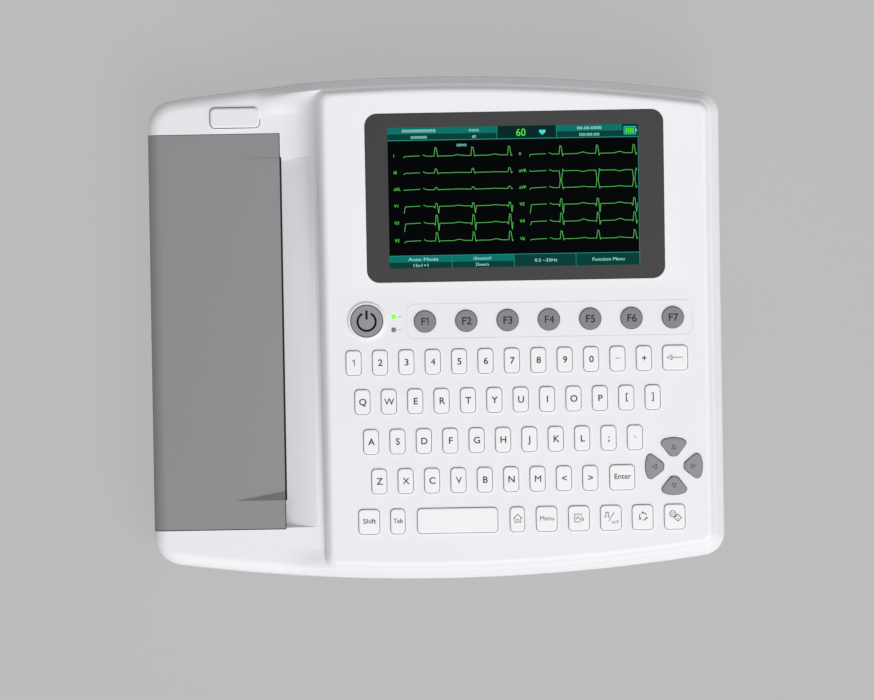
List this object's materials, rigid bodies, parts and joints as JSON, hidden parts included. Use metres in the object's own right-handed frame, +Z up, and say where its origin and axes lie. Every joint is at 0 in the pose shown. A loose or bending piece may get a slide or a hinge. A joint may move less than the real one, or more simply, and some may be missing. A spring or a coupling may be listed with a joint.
{
  "type": "ecg machine",
  "caption": "Desktop ECG recorder: wide wedge-shaped case with a tilted colour display, typing keyboard and function keys, and a hinged thermal-printer door with a paper slit on the left.",
  "frame": {"origin": "centre of the footprint, on the plane of the feet", "axes": "+X to the user's right, +Y to the rear, +Z up; the user faces the front edge at -Y"},
  "size_m": [0.347, 0.305, 0.0822],
  "materials": {
    "shell_white": "fine textured white ABS",
    "shell_lower": "fine textured white ABS",
    "door_grey": "fine textured mid grey ABS",
    "key_white": "satin white keycap",
    "key_grey": "satin grey keycap",
    "window": "dark window with a clear lit area",
    "display": "lit display panel",
    "rubber_black": "matt black rubber",
    "dome_rubber": "translucent silicone rubber",
    "steel": "zinc-plated steel",
    "aluminium": "extruded aluminium",
    "brass": "plain brass",
    "gear_white": "natural acetal",
    "black_plastic": "black nylon",
    "bin_grey": "dark grey ABS",
    "paper": "thermal paper",
    "card": "rolled card",
    "ceramic": "glazed ceramic",
    "pcb_green": "green solder resist",
    "pcb_blue": "blue solder resist",
    "pcb_tan": "bare laminate",
    "battery_blue": "blue shrink sleeve",
    "led_green": "clear light pipe",
    "cable_grey": "flat ribbon cable"
  },
  "bodies": {
    "base": {"bottom_case": "shell_lower", "top_case": "shell_white", "hinge_pin": "steel", "latch_spring": "steel", "drive_plate": "steel", "stepper_motor": "steel", "thermal_print_head": "ceramic", "head_bracket": "aluminium", "head_springs": "steel", "paper_bin": "bin_grey", "screen_window": "window", "lcd_module": "display", "main_board": "pcb_green", "ecg_board": "pcb_blue", "power_supply": "pcb_tan", "battery_pack": "battery_blue", "battery_door": "shell_lower", "keyboard_board": "pcb_green", "keypad_membrane": "dome_rubber", "rubber_feet": "rubber_black", "case_screws": "steel", "ac_inlet": "black_plastic", "earth_stud": "brass", "ecg_connector": "steel", "usb_ports": "steel", "lan_port": "steel", "status_leds": "led_green", "speaker": "black_plastic", "ribbon_cables": "cable_grey"},
    "door": {"printer_cover": "door_grey", "platen_bushes": "gear_white"},
    "platen": {"platen_roller": "rubber_black", "platen_shaft": "steel", "platen_gear": "gear_white"},
    "idler": {"idler_gear": "gear_white"},
    "pinion": {"motor_pinion": "brass"},
    "paper": {"paper_roll": "paper", "roll_core": "card"},
    "door_button": {"door_release_button": "shell_white"},
    "latch": {"latch_hook": "black_plastic"},
    "b_power_button": {"power_button": "key_grey"},
    "b_f1_key": {"f1_key": "key_grey"},
    "b_f2_key": {"f2_key": "key_grey"},
    "b_f3_key": {"f3_key": "key_grey"},
    "b_f4_key": {"f4_key": "key_grey"},
    "b_f5_key": {"f5_key": "key_grey"},
    "b_f6_key": {"f6_key": "key_grey"},
    "b_f7_key": {"f7_key": "key_grey"},
    "b_arrow_up_key": {"arrow_up_key": "key_grey"},
    "b_arrow_right_key": {"arrow_right_key": "key_grey"},
    "b_arrow_down_key": {"arrow_down_key": "key_grey"},
    "b_arrow_left_key": {"arrow_left_key": "key_grey"},
    "b_digit_row_keys": {"digit_row_keys": "key_white"},
    "b_q_row_keys": {"q_row_keys": "key_white"},
    "b_a_row_keys": {"a_row_keys": "key_white"},
    "b_z_row_keys": {"z_row_keys": "key_white"},
    "b_bottom_row_keys": {"bottom_row_keys": "key_white"},
    "b_backspace_key": {"backspace_key": "key_white"},
    "b_enter_key": {"enter_key": "key_white"},
    "b_space_key": {"space_key": "key_white"}
  },
  "joints": [
    {"name": "door_hinge", "type": "hinge", "parent": "base", "child": "door", "pos_m": [-0.171, 0, 0.028], "axis": [0, -1, 0], "range_deg": [0, 90]},
    {"name": "paper_spin", "type": "hinge", "parent": "base", "child": "paper", "pos_m": [-0.1355, 0, 0.027], "axis": [0, -1, 0], "continuous": true},
    {"name": "platen_spin", "type": "hinge", "parent": "door", "child": "platen", "pos_m": [-0.1002, 0, 0.035], "axis": [0, -1, 0], "continuous": true},
    {"name": "idler_spin", "type": "hinge", "parent": "base", "child": "idler", "pos_m": [-0.09869, -0.1146, 0.0206], "axis": [0, -1, 0], "continuous": true},
    {"name": "motor_spin", "type": "hinge", "parent": "base", "child": "pinion", "pos_m": [-0.08609, -0.1146, 0.02328], "axis": [0, -1, 0], "continuous": true},
    {"name": "door_button_press", "type": "slide", "parent": "base", "child": "door_button", "axis": [0, 0, -1], "range_m": [0, 0.002], "stiffness_N_per_m": 900, "springref_m": -0.001},
    {"name": "latch_pivot", "type": "hinge", "parent": "base", "child": "latch", "pos_m": [-0.1191, 0.124, 0.033], "axis": [-1, 0, 0], "range_deg": [0, 18], "stiffness_Nm_per_rad": 0.026, "springref_deg": -11.46, "deforming": ["latch_spring"]},
    {"name": "power_button_press", "type": "slide", "parent": "base", "child": "b_power_button", "axis": [0, 0.0436, -0.999], "range_m": [0, 0.0012], "stiffness_N_per_m": 500, "springref_m": -0.0004},
    {"name": "f1_key_press", "type": "slide", "parent": "base", "child": "b_f1_key", "axis": [0, 0.0436, -0.999], "range_m": [0, 0.0012], "stiffness_N_per_m": 500, "springref_m": -0.0004},
    {"name": "f2_key_press", "type": "slide", "parent": "base", "child": "b_f2_key", "axis": [0, 0.0436, -0.999], "range_m": [0, 0.0012], "stiffness_N_per_m": 500, "springref_m": -0.0004},
    {"name": "f3_key_press", "type": "slide", "parent": "base", "child": "b_f3_key", "axis": [0, 0.0436, -0.999], "range_m": [0, 0.0012], "stiffness_N_per_m": 500, "springref_m": -0.0004},
    {"name": "f4_key_press", "type": "slide", "parent": "base", "child": "b_f4_key", "axis": [0, 0.0436, -0.999], "range_m": [0, 0.0012], "stiffness_N_per_m": 500, "springref_m": -0.0004},
    {"name": "f5_key_press", "type": "slide", "parent": "base", "child": "b_f5_key", "axis": [0, 0.0436, -0.999], "range_m": [0, 0.0012], "stiffness_N_per_m": 500, "springref_m": -0.0004},
    {"name": "f6_key_press", "type": "slide", "parent": "base", "child": "b_f6_key", "axis": [0, 0.0436, -0.999], "range_m": [0, 0.0012], "stiffness_N_per_m": 500, "springref_m": -0.0004},
    {"name": "f7_key_press", "type": "slide", "parent": "base", "child": "b_f7_key", "axis": [0, 0.0436, -0.999], "range_m": [0, 0.0012], "stiffness_N_per_m": 500, "springref_m": -0.0004},
    {"name": "arrow_up_key_press", "type": "slide", "parent": "base", "child": "b_arrow_up_key", "axis": [0, 0.0436, -0.999], "range_m": [0, 0.0012], "stiffness_N_per_m": 4000, "springref_m": -0.0004},
    {"name": "arrow_right_key_press", "type": "slide", "parent": "base", "child": "b_arrow_right_key", "axis": [0, 0.0436, -0.999], "range_m": [0, 0.0012], "stiffness_N_per_m": 4000, "springref_m": -0.0004},
    {"name": "arrow_down_key_press", "type": "slide", "parent": "base", "child": "b_arrow_down_key", "axis": [0, 0.0436, -0.999], "range_m": [0, 0.0012], "stiffness_N_per_m": 4000, "springref_m": -0.0004},
    {"name": "arrow_left_key_press", "type": "slide", "parent": "base", "child": "b_arrow_left_key", "axis": [0, 0.0436, -0.999], "range_m": [0, 0.0012], "stiffness_N_per_m": 4000, "springref_m": -0.0004},
    {"name": "digit_row_keys_press", "type": "slide", "parent": "base", "child": "b_digit_row_keys", "axis": [0, 0.0436, -0.999], "range_m": [0, 0.0012], "stiffness_N_per_m": 4000, "springref_m": -0.0004},
    {"name": "q_row_keys_press", "type": "slide", "parent": "base", "child": "b_q_row_keys", "axis": [0, 0.0436, -0.999], "range_m": [0, 0.0012], "stiffness_N_per_m": 4000, "springref_m": -0.0004},
    {"name": "a_row_keys_press", "type": "slide", "parent": "base", "child": "b_a_row_keys", "axis": [0, 0.0436, -0.999], "range_m": [0, 0.0012], "stiffness_N_per_m": 4000, "springref_m": -0.0004},
    {"name": "z_row_keys_press", "type": "slide", "parent": "base", "child": "b_z_row_keys", "axis": [0, 0.0436, -0.999], "range_m": [0, 0.0012], "stiffness_N_per_m": 4000, "springref_m": -0.0004},
    {"name": "bottom_row_keys_press", "type": "slide", "parent": "base", "child": "b_bottom_row_keys", "axis": [0, 0.0436, -0.999], "range_m": [0, 0.0012], "stiffness_N_per_m": 4000, "springref_m": -0.0004},
    {"name": "backspace_key_press", "type": "slide", "parent": "base", "child": "b_backspace_key", "axis": [0, 0.0436, -0.999], "range_m": [0, 0.0012], "stiffness_N_per_m": 500, "springref_m": -0.0004},
    {"name": "enter_key_press", "type": "slide", "parent": "base", "child": "b_enter_key", "axis": [0, 0.0436, -0.999], "range_m": [0, 0.0012], "stiffness_N_per_m": 500, "springref_m": -0.0004},
    {"name": "space_key_press", "type": "slide", "parent": "base", "child": "b_space_key", "axis": [0, 0.0436, -0.999], "range_m": [0, 0.0012], "stiffness_N_per_m": 500, "springref_m": -0.0004}
  ],
  "couplings": [
    {"joint": "platen_spin", "follows": "paper_spin", "ratio": 3},
    {"joint": "idler_spin", "follows": "paper_spin", "ratio": -2.4},
    {"joint": "motor_spin", "follows": "paper_spin", "ratio": 4},
    {"joint": "latch_pivot", "follows": "door_button_press", "rad_per_m": 157.08}
  ]
}
